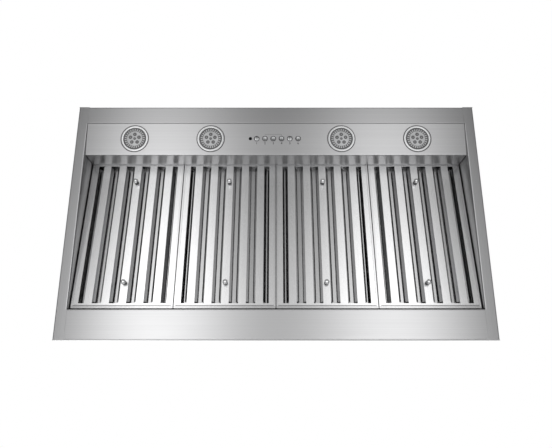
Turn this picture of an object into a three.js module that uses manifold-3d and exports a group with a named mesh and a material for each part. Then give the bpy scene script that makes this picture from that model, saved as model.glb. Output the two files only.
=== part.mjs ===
// Range hood insert: a stainless steel liner that hangs in a cabinet above a cooktop, with four baffle
// filters, four lamps, six push buttons, a double-inlet blower and a round duct collar with a damper.
// Millimetres. +Z is up, -Y is the front with the lamps and buttons, +Y is the rear (wall) side.
// The origin is the centre of the flange's lower plane.

import * as THREE from 'three';
import { mergeVertices } from 'three/addons/utils/BufferGeometryUtils.js';
import Module from 'manifold-3d';

const wasm = await Module();
wasm.setup();

// ---------------------------------------------------------------- driving dimensions

const FLANGE_WIDTH = 1178;          // overall width of the visible flange
const FLANGE_DEPTH = 682;           // overall depth of the visible flange
const EDGE_LIP = 16;                // height of the turned-up outer edge of the flange
const SHEET = 1.2;                  // stainless sheet of the flange, the panel and the housing
const BEND = 2.4;                   // inside radius of a fold in that sheet
const SEAM = 0.3;                   // gap between two pieces that touch

const RAIL_WIDTH = 30.5;            // side strips of the flange
const RAIL_LEG = 95;                // their inner legs, the side walls of the recess
const FRONT_STRIP_DEPTH = 52.6;
const HEM = 12;                     // upright hems at the seam of front strip and control panel
const HEM_BEND = 0.3;               // inside radius of the folds of those hems
const REAR_STRIP_DEPTH = 82;
const REAR_LEG = 22;                // upright leg at the inner edge of the rear strip

const PANEL_LENGTH = 99.5;          // control panel, measured along its slope
const PANEL_TILT = 4.6;             // degrees; its rear edge lies deeper in the hood
const WALL_HEIGHT = 62.2;           // front wall of the recess, folded up from the panel
const WALL_LEAN = 4.4;              // degrees towards the rear
const SHELF_DEPTH = 16;             // shelf on top of the wall, which carries the filters
const SHELF_LIP = 8;

const FILTER_COUNT = 4;
const FILTER_SLOPE = 7.3;           // degrees; the filters drop towards the rear
const FILTER_LAP = 7.5;             // front end of a filter, resting on the shelf
const FILTER_REAR_GAP = 4.7;        // from a filter to the rear strip's leg
const FILTER_SIDE_GAP = 2.5;        // from the outer filters to the side rails
const FILTER_GAP = 1.5;             // between two filters
const FILTER_HEIGHT = 22;
const FILTER_SHEET = 0.8;
const END_LIP = 5.4;                // visible lip of the filter frame at its ends
const SIDE_LIP = 5.4;               // and along its sides
const TOP_LIP = 9;                  // lip round the upper face of the frame
const END_STRIP = 7;                // baffle plate between that lip and the slots
const SLATS = 5;
const SLAT_WIDTH = 21;
const OUTER_SLOT = 15.7;            // width of the outermost slots
const SIDE_STRIP = 13.6;            // baffle plate between them and the side lips
const LEG_RISE = 8;                 // a slat's sloping leg: its height,
const LEG_FLARE = 6.8;              // its reach into the slot,
const LEG_SETBACK = 5;              // and the notch between the leg and the slot's end
const BACK_ROW_GAP = 16.5;          // from the front row's plate to the back row's
const BACK_ROW_REACH = 10.5;        // of the back row's flat part, past the front row's last slats

const KNOB_INSET = 69;              // from each end of a filter
const KNOB_BALL = 6.75;             // radius
const KNOB_STANDOFF = 14;           // from the slat's face to the centre of the ball
const KNOB_STUD = 2;                // radius of the stud through the slat
const KNOB_NUT = 4;                 // radius and height of the nut behind the slat
const KNOB_NECK = 3;                // radius
const KNOB_WASHER = [6.2, 1];       // radius and thickness
const CATCH_CLEARANCE = 0.35;       // from a catch spring to the path of the filter's rear edge
const CATCH_SPACING = 150;          // the two catch springs of one filter
const CATCH_WIDTH = 14;
const CATCH_DROP = 5;               // from the filter's rear upper edge down to a catch's nose
const CATCH_RAIL_RISE = 22;         // how far the catch rail stands above that edge

const ROW_LINE = 48.5;              // lamps and buttons, measured along the panel from its front edge
const LAMP_INSET = 141.7;           // from the side rails to the centres of the outer lamps
const LAMP_PITCH = 224.1;           // from those to the inner lamps
const LAMP_TRIM = 41.8;             // outer radius of the trim ring
const LAMP_TRIM_DROP = 1.8;         // how far the ring stands below the panel
const LAMP_CAN = 33.6;              // radius of the lamp's can
const LAMP_CAN_HEIGHT = 29;
const LAMP_WALL = 1.2;
const LAMP_BEZEL = 31;              // radius of the opening in the trim ring
const LAMP_CHAMFER = 1;             // on the ring's outer and inner edges
const LENS_RECESS = 1.1;            // from the ring's lower face up to the lens
const LENS_THICKNESS = 2;
const HOLE_CLEARANCE = 1;           // round a can or a button in the panel

const BUTTON_COUNT = 6;
const BUTTON_PITCH = 24.4;
const BUTTON_ROW_CENTRE = 4.1;      // middle of the row of buttons
const BUTTON_RADIUS = 8;
const BUTTON_DROP = 2.6;            // how far a button stands below the panel
const BUTTON_COLLAR = 9.8;          // radius of the collar that keeps it in its hole
const BUTTON_TRAVEL = 1.8;
const BUTTON_STEM = 3;              // radius of the stem behind the collar
const STEM_LENGTH = 5;
const BUTTON_ROUND = 1.6;           // rounding of its rim
const WINDOW_OFFSET = 18.6;         // remote receiver window, left of the first button
const WINDOW_RADIUS = 4.6;
const WINDOW_COLLAR = 1.5;          // how far its collar reaches past the hole
const WINDOW_DROP = 1;
const SWITCH_BOX_HEIGHT = 24;
const SWITCH_BOX_WALL = 2;
const SWITCH_BOX_MARGIN = 22;       // from the end buttons to the ends of the switch box
const SWITCH_BOX_HALF_DEPTH = 19;
const BOARD_POST = 3;               // radius of the posts that hold the board
const BOARD_POST_INSET = 8;
const BOARD_THICKNESS = 1.6;
const SWITCH_HEIGHT = 3.4;          // tactile switch under each button

const HOUSING_HEIGHT = 165;         // main housing, from the flange's lower plane
const HOUSING_INSET = 27;           // from the flange's front and rear edges to the housing

const BLOWER_BOX_WIDTH = 380;
const BLOWER_BOX_DEPTH = 392;
const BLOWER_BOX_HEIGHT = 200;
const BLOWER_BOX_FLANGE = 15;
const DUCT_RADIUS = 125;            // outside of the collar, for a 250 mm duct
const COLLAR_HEIGHT = 54;
const COLLAR_BASE = 17;             // width of its base flange
const COLLAR_STOP = 6;              // width of the stop ring inside, under the damper flaps
const DUCT_Y = 40;                  // centre of the duct
const SPINDLE_RADIUS = 2;
const SPINDLE_RISE = 4.6;           // from the stop ring to the spindle's axis
const KNUCKLE_RADIUS = 3.6;
const KNUCKLE_LENGTH = 14;
const KNUCKLE_PLACE = 60;           // from the middle of the spindle to a pair of knuckles
const KNUCKLE_GAP = 1.5;            // between the two knuckles of a pair
const FLAP_SHEET = 1.0;
const FLAP_EDGE_GAP = 1.2;          // from a flap's round edge to the collar
const RUNNING_GAP = 0.35;           // round shafts and spindles

const WHEEL_RADIUS = 88;
const WHEEL_EYE = 72;               // inner radius of the blades
const WHEEL_WIDTH = 150;
const BLADES = 20;
const BLADE_SHEET = 1.6;
const BLADE_SWEEP = 11;             // degrees that a blade's outer edge leads its inner edge
const RING_THICKNESS = 2;
const HUB_RADIUS = 14;
const HUB_LENGTH = 26;
const SHAFT_RADIUS = 5;
const SHAFT_DEPTH = 24;             // how far the shaft reaches into the motor
const SHAFT_END = 4;                // and how far it stands out of the hub
const SCROLL_CLEARANCE = 16;        // from the wheel to the scroll at its cutoff
const SCROLL_GROWTH = 38;           // growth of the scroll's radius from cutoff to outlet
const CUTOFF_ANGLE = 60;            // degrees above the outlet side
const SCROLL_SIDE_GAP = 10;         // from the wheel's ends to the scroll's side plates
const SCROLL_INLET = 80;            // radius of each inlet
const SCROLL_FLOOR_GAP = 12;        // from the filters' highest point to the scroll
const MOTOR_RADIUS = 52;
const MOTOR_LENGTH = 92;
const MOTOR_CHAMFER = 4;
const MOTOR_DISC_GAP = 12;          // from the motor to the wheel's disc
const MOTOR_BAND = 18;              // length of the band round the motor
const BRACKET_SHEET = 2.5;
const BRACKET_ARM = 16;
const BRACKET_ARMS = [90, 210, 330];  // degrees
const BRACKET_REACH = 98;           // radius to the ends of the bracket's arms

const DRIVER_SIZE = [140, 32, 30];
const DRIVER_INSET = 170;           // from the housing's right side to the driver
const DRIVER_DROP = 65;             // from the housing's top to the driver
const JUNCTION_SIZE = [110, 80, 40];
const JUNCTION_GAP = 32;            // from the left hanging bracket to the junction box
const JUNCTION_INSET = 39;          // and from the housing's rear
const GLAND_RADIUS = 13;
const GLAND_BORE = 8;
const GLAND_LENGTH = 22;
const GLAND_WALL = 3;               // of the part with the thread
const GLAND_NUT = 6;                // how far its nut reaches into the box
const HANGER_INSET = 55;            // from the housing's sides to the hanging brackets
const HANGER_END_GAP = 34;          // from their ends to the housing's front and rear
const HANGER_FLANGE = 28;
const HANGER_RISE = 26;
const HANGER_SHEET = 2.4;
const HANGER_SLOTS = 3;
const HANGER_SLOT_INSET = 60;       // from the ends of a bracket to its outer slots
const HANGER_SLOT_SIZE = [8, 28];

// Facets round the turned pieces.
const LAMP_SIDES = 24;
const BUTTON_SIDES = 12;
const KNOB_SIDES = 8;
const DUCT_SIDES = 32;
const WHEEL_SIDES = 30;
const MOTOR_SIDES = 20;
const SMALL_SIDES = 10;

// ---------------------------------------------------------------- derived places

const front = -FLANGE_DEPTH / 2;
const rear = FLANGE_DEPTH / 2;
const railInner = FLANGE_WIDTH / 2 - RAIL_WIDTH;
const innerWidth = 2 * railInner;
const panelFront = front + FRONT_STRIP_DEPTH + SEAM;
const rearLegFace = rear - REAR_STRIP_DEPTH;

const tilt = THREE.MathUtils.degToRad(PANEL_TILT);
const lean = THREE.MathUtils.degToRad(WALL_LEAN);
const slope = THREE.MathUtils.degToRad(FILTER_SLOPE);

const panelRear = new THREE.Vector2(
  panelFront + PANEL_LENGTH * Math.cos(tilt),
  PANEL_LENGTH * Math.sin(tilt),
);
const wallTop = new THREE.Vector2(
  panelRear.x + WALL_HEIGHT * Math.sin(lean),
  panelRear.y + WALL_HEIGHT * Math.cos(lean),
);
const shelfFront = new THREE.Vector2(
  wallTop.x - SHELF_DEPTH * Math.cos(slope),
  wallTop.y + SHELF_DEPTH * Math.sin(slope),
);

// A filter tilts about the line where its lower face meets the top of the wall.
const filterPivot = new THREE.Vector2(wallTop.x, wallTop.y + SEAM / Math.cos(slope));
const filterReach = (rearLegFace - FILTER_REAR_GAP - filterPivot.x) / Math.cos(slope);
const filterWidth =
  (innerWidth - 2 * FILTER_SIDE_GAP - (FILTER_COUNT - 1) * FILTER_GAP) / FILTER_COUNT;
const filterTop = filterPivot.y + FILTER_HEIGHT * Math.cos(slope) + FILTER_LAP * Math.sin(slope);
const filterRearTop =
  filterPivot.y - filterReach * Math.sin(slope) + FILTER_HEIGHT * Math.cos(slope);
const slatPitch =
  (filterWidth - 2 * (SIDE_LIP + SIDE_STRIP + OUTER_SLOT) - SLAT_WIDTH) / (SLATS - 1);

const housingSide = railInner + SHEET + SEAM;
const housingFront = front + HOUSING_INSET;
const housingRear = rear - HOUSING_INSET;
const housingTopZ = HOUSING_HEIGHT + SEAM;
const housingRoof = housingTopZ + SHEET;
const hangerWeb = housingSide - HANGER_INSET;
const hangerFoot = housingRoof + SEAM;

const blowerBoxFoot = housingRoof + SEAM;
const blowerBoxTop = blowerBoxFoot + BLOWER_BOX_HEIGHT;
const collarFoot = blowerBoxTop + SEAM;
const stopTop = collarFoot + SHEET;
const spindleZ = stopTop + SPINDLE_RISE;

const scrollStart = WHEEL_RADIUS + SCROLL_CLEARANCE;
const scrollEnd = scrollStart + SCROLL_GROWTH;
const scrollHalf = WHEEL_WIDTH / 2 + SCROLL_SIDE_GAP;
const scrollTop = blowerBoxTop - SHEET - SEAM;
const cutoff = THREE.MathUtils.degToRad(CUTOFF_ANGLE);
const outletInner = scrollStart * Math.cos(cutoff);
const wheelY = DUCT_Y - (outletInner + scrollEnd) / 2;
const wheelZ = filterTop + SCROLL_FLOOR_GAP + scrollRadius(1.5 * Math.PI);

function scrollRadius(angle) {
  return scrollStart + (SCROLL_GROWTH * (angle - cutoff)) / (2 * Math.PI - cutoff);
}

// ---------------------------------------------------------------- solids

const AXIS_X = new THREE.Vector3(1, 0, 0);
const AXIS_Y = new THREE.Vector3(0, 1, 0);
const AXIS_Z = new THREE.Vector3(0, 0, 1);
const OUTLINE_YZ = new THREE.Matrix4().makeBasis(AXIS_Y, AXIS_Z, AXIS_X);
const OUTLINE_XZ = new THREE.Matrix4().makeBasis(AXIS_X, AXIS_Z, AXIS_Y.clone().negate());

// A closed geometry as a solid, with its vertices shared and its faces turned outwards.
function solidOf(geometry) {
  const bare = geometry.clone();
  bare.deleteAttribute('normal');
  bare.deleteAttribute('uv');
  const merged = mergeVertices(bare, 1e-4);
  const corners = merged.index.array;
  const triangles = [];
  for (let i = 0; i < corners.length; i += 3) {
    const [a, b, c] = [corners[i], corners[i + 1], corners[i + 2]];
    if (a !== b && b !== c && c !== a) triangles.push(a, b, c);
  }
  const points = merged.attributes.position;
  if (signedVolume(points, triangles) < 0) triangles.reverse();
  return new wasm.Manifold(new wasm.Mesh({
    numProp: 3,
    vertProperties: new Float32Array(points.array),
    triVerts: new Uint32Array(triangles),
  }));
}

function signedVolume(points, triangles) {
  const corner = [new THREE.Vector3(), new THREE.Vector3(), new THREE.Vector3()];
  let volume = 0;
  for (let i = 0; i < triangles.length; i += 3) {
    corner.forEach((point, k) => point.fromBufferAttribute(points, triangles[i + k]));
    volume += corner[0].dot(corner[1].clone().cross(corner[2])) / 6;
  }
  return volume;
}

function geometryOf(solid) {
  const mesh = solid.getMesh();
  const geometry = new THREE.BufferGeometry();
  const points = new Float32Array(mesh.vertProperties);
  geometry.setAttribute('position', new THREE.BufferAttribute(points, 3));
  geometry.setIndex(new THREE.BufferAttribute(new Uint32Array(mesh.triVerts), 1));
  geometry.computeVertexNormals();
  return geometry;
}

function join(...pieces) {
  return geometryOf(pieces.map(solidOf).reduce((whole, piece) => whole.add(piece)));
}

function cut(base, ...tools) {
  return geometryOf(tools.map(solidOf).reduce((whole, tool) => whole.subtract(tool), solidOf(base)));
}

function block([x0, x1], [y0, y1], [z0, z1]) {
  const geometry = new THREE.BoxGeometry(x1 - x0, y1 - y0, z1 - z0);
  return geometry.translate((x0 + x1) / 2, (y0 + y1) / 2, (z0 + z1) / 2);
}

function around(centre, half) {
  return [centre - half, centre + half];
}

function shrink([from, to], amount) {
  return [from + amount, to - amount];
}

function shapeOf(points) {
  return new THREE.Shape(points.map(([x, y]) => new THREE.Vector2(x, y)));
}

function extrude(shape, depth) {
  return new THREE.ExtrudeGeometry(shape, { depth, bevelEnabled: false, curveSegments: 8 });
}

// An outline drawn in Y and Z, between two places along X.
function alongX(points, [x0, x1]) {
  return extrude(shapeOf(points), x1 - x0).applyMatrix4(OUTLINE_YZ).translate(x0, 0, 0);
}

// An outline drawn in X and Z, between two places along Y.
function alongY(points, [y0, y1]) {
  return extrude(shapeOf(points), y1 - y0).applyMatrix4(OUTLINE_XZ).translate(0, y1, 0);
}

// A profile of radius and height, turned about Z.
function turned(profile, segments) {
  const points = profile.map(([radius, height]) => new THREE.Vector2(radius, height));
  const lathe = new THREE.LatheGeometry(points, segments).rotateX(Math.PI / 2);
  return geometryOf(solidOf(lathe));
}

function rod(radius, [z0, z1], segments) {
  return turned([[0, z0], [radius, z0], [radius, z1], [0, z1]], segments);
}

function ring(innerRadius, outerRadius, [z0, z1], segments) {
  const profile = [[innerRadius, z0], [outerRadius, z0], [outerRadius, z1], [innerRadius, z1]];
  return turned([...profile, profile[0]], segments);
}

// The outline of a sheet folded along a path. The path is the sheet's face, with the material on its
// left, and every corner of the path becomes a bend. Where there are several radii, they go with the
// bends in turn, and the last one holds for the rest.
function folded(path, thickness, insideRadius, bendSteps = 3) {
  const radii = [insideRadius].flat();
  const corners = path.map(([x, y]) => new THREE.Vector2(x, y));
  const leftOf = (from, to) => {
    const along = to.clone().sub(from).normalize();
    return new THREE.Vector2(-along.y, along.x);
  };
  const face = [];
  const back = [];
  const put = (point, normal) => {
    face.push([point.x, point.y]);
    back.unshift([point.x + normal.x * thickness, point.y + normal.y * thickness]);
  };
  corners.forEach((corner, i) => {
    const before = i > 0 ? leftOf(corners[i - 1], corner) : null;
    const after = i < corners.length - 1 ? leftOf(corner, corners[i + 1]) : null;
    if (!before || !after) {
      put(corner, before ?? after);
      return;
    }
    const side = Math.sign(before.cross(after));
    const inside = radii[Math.min(i, radii.length) - 1];
    const radius = side > 0 ? inside + thickness : inside;
    const middle = before.clone().add(after).multiplyScalar(1 / (1 + before.dot(after)));
    const centre = corner.clone().addScaledVector(middle, side * radius);
    const turn = side * Math.acos(before.dot(after));
    for (let k = 0; k <= bendSteps; k++) {
      const normal = before.clone().rotateAround(new THREE.Vector2(), (turn * k) / bendSteps);
      put(centre.clone().addScaledVector(normal, -side * radius), normal);
    }
  });
  return [...face, ...back];
}

function circleOutline(radius, count) {
  return Array.from({ length: count }, (_, k) => {
    const angle = (2 * Math.PI * (k + 0.5)) / count;
    return [radius * Math.cos(angle), radius * Math.sin(angle)];
  });
}

// The mirror image of a closed geometry, left for right.
function mirrorX(geometry) {
  return geometryOf(solidOf(geometry.clone().scale(-1, 1, 1)));
}

// ---------------------------------------------------------------- scene graph

const insert = new THREE.Group();

function place(name, geometry, [color, roughness, metalness], parent = insert) {
  const material = new THREE.MeshStandardMaterial({ color, roughness, metalness });
  const mesh = new THREE.Mesh(geometry, material);
  mesh.name = name;
  parent.add(mesh);
}

const BRUSHED = [0xb9bbbd, 0.32, 1];
const FILTER_STEEL = [0xc4c6c8, 0.28, 1];
const GALVANISED = [0x9fa3a6, 0.5, 1];
const CHROME = [0xe2e4e6, 0.08, 1];
const BLACK_PLASTIC = [0x1c1c1e, 0.5, 0];
const CIRCUIT_BOARD = [0x2c5a3c, 0.6, 0];
const LENS = [0xe9ecee, 0.2, 0];
const CAST_ALUMINIUM = [0x8d9194, 0.45, 1];
const DARK_STEEL = [0x55585b, 0.5, 1];

// The control panel's own axes: y runs along its slope from the front edge, z stands square to it.
const panelAxes = new THREE.Group();
panelAxes.position.set(0, panelFront, 0);
panelAxes.rotation.x = tilt;
insert.add(panelAxes);
const panelMatrix = new THREE.Matrix4()
  .makeTranslation(0, panelFront, 0)
  .multiply(new THREE.Matrix4().makeRotationX(tilt));

const lampOuter = railInner - LAMP_INSET;
const lampInner = lampOuter - LAMP_PITCH;
const lampPlaces = [-lampOuter, -lampInner, lampInner, lampOuter];
const buttonPlaces = Array.from(
  { length: BUTTON_COUNT },
  (_, i) => BUTTON_ROW_CENTRE + (i - (BUTTON_COUNT - 1) / 2) * BUTTON_PITCH,
);
const windowX = buttonPlaces[0] - WINDOW_OFFSET;

// ---------------------------------------------------------------- flange and recess

function sideRail(sign) {
  const outline = folded(
    [[railInner, RAIL_LEG], [railInner, 0], [FLANGE_WIDTH / 2, 0], [FLANGE_WIDTH / 2, EDGE_LIP]],
    SHEET, BEND,
  );
  const legEnd = rearLegFace + SHEET;
  const bendZone = railInner + SHEET + BEND;
  const wholeZone = [railInner - SEAM, bendZone];
  const above = [-SHEET, RAIL_LEG + SHEET];
  const stripZone = [railInner, bendZone + SHEET];
  const lipZone = [railInner, FLANGE_WIDTH / 2];
  const rail = join(
    cut(
      alongY(outline, [front, rear]),
      block(wholeZone, [front - SHEET, panelFront], above),
      block(wholeZone, [legEnd, rear + SHEET], above),
    ),
    block(stripZone, [front, panelFront], [0, SHEET]),
    block(stripZone, [legEnd, rear], [0, SHEET]),
    block(lipZone, [front, front + SHEET], [0, EDGE_LIP]),
    block(lipZone, [rear - SHEET, rear], [0, EDGE_LIP]),
  );
  return sign > 0 ? rail : mirrorX(rail);
}

function frontStrip() {
  const outline = folded(
    [[front, EDGE_LIP], [front, 0], [panelFront - SEAM, 0], [panelFront - SEAM, HEM]],
    SHEET, [BEND, HEM_BEND],
  );
  return alongX(outline, around(0, railInner - SEAM));
}

function rearPanel() {
  const outline = folded(
    [[rearLegFace, REAR_LEG], [rearLegFace, 0], [rear, 0], [rear, EDGE_LIP]],
    SHEET, BEND,
  );
  return alongX(outline, around(0, railInner - SEAM));
}

// One folded sheet: hem, sloping panel, front wall of the recess, filter shelf and shelf lip.
function controlPanel() {
  const outline = folded(
    [
      [panelFront, HEM], [panelFront, 0], panelRear.toArray(), wallTop.toArray(),
      shelfFront.toArray(), [shelfFront.x, shelfFront.y + SHELF_LIP],
    ],
    SHEET, [HEM_BEND, BEND],
  );
  const sheet = alongX(outline, around(0, railInner - SEAM));
  const through = around(SHEET / 2, 3 * SHEET);
  const hole = (x, radius, segments) =>
    rod(radius, through, segments).translate(x, ROW_LINE, 0).applyMatrix4(panelMatrix);
  return cut(
    sheet,
    ...lampPlaces.map((x) => hole(x, LAMP_CAN + HOLE_CLEARANCE, LAMP_SIDES)),
    ...buttonPlaces.map((x) => hole(x, BUTTON_RADIUS + HOLE_CLEARANCE / 2, BUTTON_SIDES)),
    hole(windowX, WINDOW_RADIUS + HOLE_CLEARANCE / 2, BUTTON_SIDES),
  );
}

place('side_rail_left', sideRail(-1), BRUSHED);
place('side_rail_right', sideRail(1), BRUSHED);
place('front_strip', frontStrip(), BRUSHED);
place('control_panel', controlPanel(), BRUSHED);
place('rear_panel', rearPanel(), BRUSHED);

// ---------------------------------------------------------------- filters

const filterX = (i) => (i - (FILTER_COUNT - 1) / 2) * (filterWidth + FILTER_GAP);
const slotsFrom = -FILTER_LAP + END_LIP + END_STRIP;
const slotsTo = filterReach - END_LIP - END_STRIP;
const frontRow = FILTER_SHEET + SEAM;
const knobPlaces = { front: -FILTER_LAP + KNOB_INSET, rear: filterReach - KNOB_INSET };

// A plate with slots, `inside` the filter's outline. Along the slot edges that are listed, a leg slopes
// away from the plate and into the slot. `up` is 1 for legs above the plate and -1 for legs below it.
function bafflePlate(slots, plateFace, up, inside) {
  const halfWidth = filterWidth / 2 - inside;
  const plateBack = plateFace + up * FILTER_SHEET;
  const levels = [Math.min(plateFace, plateBack), Math.max(plateFace, plateBack)];
  const plate = block(around(0, halfWidth), [-FILTER_LAP + inside, filterReach - inside], levels);
  const through = around(plateFace, 2 * FILTER_SHEET);
  const cuts = slots.map(({ from, to }) => block([from, to], [slotsFrom, slotsTo], through));
  const legThickness = (FILTER_SHEET * Math.hypot(LEG_RISE, LEG_FLARE)) / LEG_RISE;
  const leg = (edge, into) => {
    const tip = plateFace + up * LEG_RISE;
    const outline = [
      [edge, plateFace], [edge + into * LEG_FLARE, tip],
      [edge + into * (LEG_FLARE - legThickness), tip], [edge - into * legThickness, plateFace],
    ];
    return alongY(outline, [slotsFrom + LEG_SETBACK, slotsTo - LEG_SETBACK]);
  };
  const legs = slots.flatMap(({ from, to, legFrom, legTo }) => [
    ...(legFrom ? [leg(from, 1)] : []),
    ...(legTo ? [leg(to, -1)] : []),
  ]);
  return join(cut(plate, ...cuts), ...legs);
}

const slatCentre = (i) => (i - (SLATS - 1) / 2) * slatPitch;
const lastEdge = slatCentre(SLATS - 1) + SLAT_WIDTH / 2;

function frontBaffles() {
  const slots = [{ from: -lastEdge - OUTER_SLOT, to: -lastEdge, legTo: true }];
  for (let i = 0; i < SLATS - 1; i++) {
    const from = slatCentre(i) + SLAT_WIDTH / 2;
    slots.push({ from, to: from + slatPitch - SLAT_WIDTH, legFrom: true, legTo: true });
  }
  slots.push({ from: lastEdge, to: lastEdge + OUTER_SLOT, legFrom: true });
  const studHoles = Object.values(knobPlaces).map((y) =>
    rod(KNOB_STUD + RUNNING_GAP, [0, LEG_RISE], KNOB_SIDES).translate(0, y, 0));
  return cut(bafflePlate(slots, frontRow, 1, FILTER_SHEET + SEAM), ...studHoles);
}

// The frame is a channel that opens inwards, with the back row of baffles welded between its sides.
function filterFrame() {
  const half = filterWidth / 2;
  const inset = (amount) => [around(0, half - amount), [-FILTER_LAP + amount, filterReach - amount]];
  const [wholeX, wholeY] = inset(0);
  const [cavityX, cavityY] = inset(FILTER_SHEET);
  const [topX, topY] = inset(TOP_LIP);
  const lowerHalf = [-FILTER_SHEET, FILTER_HEIGHT / 2];
  const upperHalf = [FILTER_HEIGHT / 2, FILTER_HEIGHT + FILTER_SHEET];
  const channel = cut(
    block(wholeX, wholeY, [0, FILTER_HEIGHT]),
    block(cavityX, cavityY, [FILTER_SHEET, FILTER_HEIGHT - FILTER_SHEET]),
    block(around(0, half - SIDE_LIP), [-FILTER_LAP + END_LIP, filterReach - END_LIP], lowerHalf),
    block(topX, topY, upperHalf),
  );
  const slots = Array.from({ length: SLATS }, (_, i) => {
    const [from, to] = around(slatCentre(i), (slatPitch - SLAT_WIDTH) / 2);
    return { from, to, legFrom: true, legTo: true };
  });
  const outerEdge = lastEdge + BACK_ROW_REACH;
  const side = half - TOP_LIP;
  slots.push({ from: outerEdge, to: side, legFrom: true }, { from: -side, to: -outerEdge, legTo: true });
  const backRow = frontRow + 2 * FILTER_SHEET + BACK_ROW_GAP;
  const back = bafflePlate(slots, backRow, -1, FILTER_SHEET / 2);
  return join(channel, back);
}

// A ball on a stud: nut behind the slat, stud through it, washer, neck and ball.
function filterKnob() {
  const slatFace = frontRow;
  const washerTop = slatFace - SEAM;
  const washerFoot = washerTop - KNOB_WASHER[1];
  const ballCentre = slatFace - KNOB_STANDOFF;
  const nutFoot = slatFace + FILTER_SHEET + SEAM;
  const nutTop = nutFoot + KNOB_NUT;
  const neckAngle = Math.asin(KNOB_NECK / KNOB_BALL);
  const ball = [];
  const steps = KNOB_SIDES / 2;
  for (let k = 0; k <= steps; k++) {
    const angle = neckAngle + ((Math.PI - neckAngle) * k) / steps;
    const radius = k < steps ? KNOB_BALL * Math.sin(angle) : 0;
    ball.push([radius, ballCentre + KNOB_BALL * Math.cos(angle)]);
  }
  const profile = [
    [0, nutTop], [KNOB_NUT, nutTop], [KNOB_NUT, nutFoot], [KNOB_STUD, nutFoot],
    [KNOB_STUD, washerTop], [KNOB_WASHER[0], washerTop], [KNOB_WASHER[0], washerFoot],
    [KNOB_NECK, washerFoot], ...ball,
  ];
  return turned(profile, KNOB_SIDES);
}

for (let i = 0; i < FILTER_COUNT; i++) {
  const filter = new THREE.Group();
  filter.position.set(filterX(i), filterPivot.x, filterPivot.y);
  filter.rotation.x = -slope;
  insert.add(filter);
  const name = `filter_${i + 1}`;
  place(`${name}_frame`, filterFrame(), FILTER_STEEL, filter);
  place(`${name}_baffles`, frontBaffles(), FILTER_STEEL, filter);
  for (const [end, y] of Object.entries(knobPlaces)) {
    place(`${name}_knob_${end}`, filterKnob().translate(0, y, 0), CHROME, filter);
  }
}

// The rail behind the rear strip's leg, with two catch springs for each filter. Their noses stay just
// outside the circle that the filter's rear upper edge follows as it swings.
function catchRail() {
  const face = rearLegFace + SHEET + SEAM;
  const railFoot = REAR_LEG / 2;
  const railTop = filterRearTop + CATCH_RAIL_RISE;
  const pathRadius = Math.hypot(filterReach, FILTER_HEIGHT) + CATCH_CLEARANCE;
  const noseZ = filterRearTop - CATCH_DROP;
  const noseY = filterPivot.x + Math.sqrt(pathRadius ** 2 - (filterPivot.y - noseZ) ** 2);
  const root = face + SHEET / 2;
  const spring = folded(
    [[root, railTop - CATCH_DROP], [noseY, noseZ], [root, noseZ - 2 * CATCH_DROP]],
    FILTER_SHEET, FILTER_SHEET / 2, 1,
  );
  const pieces = [block(around(0, railInner - 2 * SEAM), [face, face + SHEET], [railFoot, railTop])];
  for (let i = 0; i < FILTER_COUNT; i++) {
    for (const side of [-1, 1]) {
      const centre = filterX(i) + (side * CATCH_SPACING) / 2;
      pieces.push(alongX(spring, around(centre, CATCH_WIDTH / 2)));
    }
  }
  return join(...pieces);
}

place('filter_catch_rail', catchRail(), DARK_STEEL);

// ---------------------------------------------------------------- lamps

const lensLedge = LENS_RECESS - LAMP_TRIM_DROP;

function lampHousing() {
  const bore = LAMP_CAN - LAMP_WALL;
  const canTop = LAMP_CAN_HEIGHT - LAMP_WALL;
  return turned([
    [0, LAMP_CAN_HEIGHT], [LAMP_CAN, LAMP_CAN_HEIGHT], [LAMP_CAN, -SEAM], [LAMP_TRIM, -SEAM],
    [LAMP_TRIM - LAMP_CHAMFER, -LAMP_TRIM_DROP], [LAMP_BEZEL + LAMP_CHAMFER, -LAMP_TRIM_DROP],
    [LAMP_BEZEL, lensLedge], [bore, lensLedge], [bore, canTop], [0, canTop],
  ], LAMP_SIDES);
}

function lampLens() {
  const seat = lensLedge + SEAM;
  return rod(LAMP_CAN - LAMP_WALL - SEAM, [seat, seat + LENS_THICKNESS], LAMP_SIDES);
}

lampPlaces.forEach((x, i) => {
  place(`lamp_${i + 1}_housing`, lampHousing().translate(x, ROW_LINE, 0), CHROME, panelAxes);
  place(`lamp_${i + 1}_lens`, lampLens().translate(x, ROW_LINE, 0), LENS, panelAxes);
});

// ---------------------------------------------------------------- buttons and their switches

const collarSeat = SHEET + SEAM;
const collarTop = collarSeat + SHEET;
const stemTop = collarTop + STEM_LENGTH;
const switchFoot = stemTop + BUTTON_TRAVEL + SEAM;
const boardFoot = switchFoot + SWITCH_HEIGHT;
const switchBoxX = [windowX - SWITCH_BOX_MARGIN, buttonPlaces[BUTTON_COUNT - 1] + SWITCH_BOX_MARGIN];
const switchBoxY = around(ROW_LINE, SWITCH_BOX_HALF_DEPTH);

function button() {
  return turned([
    [0, stemTop], [BUTTON_STEM, stemTop], [BUTTON_STEM, collarTop], [BUTTON_COLLAR, collarTop],
    [BUTTON_COLLAR, collarSeat], [BUTTON_RADIUS, collarSeat],
    [BUTTON_RADIUS, BUTTON_ROUND - BUTTON_DROP], [BUTTON_RADIUS - BUTTON_ROUND, -BUTTON_DROP],
    [0, -BUTTON_DROP],
  ], BUTTON_SIDES);
}

function windowPiece() {
  const pieceTop = boardFoot - SEAM;
  const collar = WINDOW_RADIUS + WINDOW_COLLAR;
  const guide = WINDOW_RADIUS - WINDOW_COLLAR;
  return turned([
    [0, pieceTop], [guide, pieceTop], [guide, collarTop], [collar, collarTop],
    [collar, collarSeat], [WINDOW_RADIUS, collarSeat], [WINDOW_RADIUS, 0],
    [WINDOW_RADIUS - WINDOW_DROP, -WINDOW_DROP], [0, -WINDOW_DROP],
  ], BUTTON_SIDES);
}

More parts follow.
